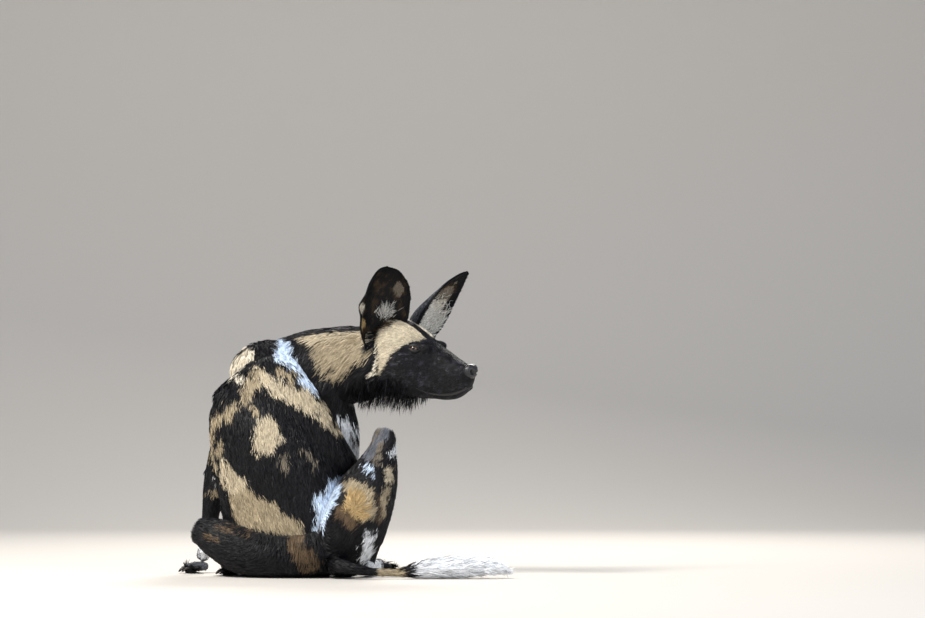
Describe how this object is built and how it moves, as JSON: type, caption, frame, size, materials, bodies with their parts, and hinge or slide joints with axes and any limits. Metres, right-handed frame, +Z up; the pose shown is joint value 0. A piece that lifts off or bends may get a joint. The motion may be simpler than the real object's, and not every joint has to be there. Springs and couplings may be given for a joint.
{
  "type": "african wild dog",
  "caption": "Life-size still african wild dog, sitting with its back to the viewer and its head turned over its right shoulder, with a blotched black, tan and white coat",
  "frame": {"origin": "the middle of the box that the whole animal fills, at the height of the floor", "axes": "+Z is up, +X is to the right of a viewer who looks at the animal's back, towards its nose and tail tip, and +Y points away from that viewer"},
  "size_m": [0.6756, 0.3268, 0.6205],
  "materials": {
    "coat": "short rough fur, black with tan and white blotches",
    "nose_leather": "moist black nose leather",
    "eye": "wet brown eye",
    "claw": "smooth dark horn"
  },
  "bodies": {
    "root": {"torso": "coat", "neck": "coat", "head": "coat", "nose": "nose_leather", "eye_right": "eye", "eye_left": "eye", "ear_right": "coat", "ear_left": "coat", "foreleg_right": "coat", "foreleg_left": "coat", "hindleg_right": "coat", "hindleg_left": "coat", "tail": "coat"}
  },
  "joints": []
}
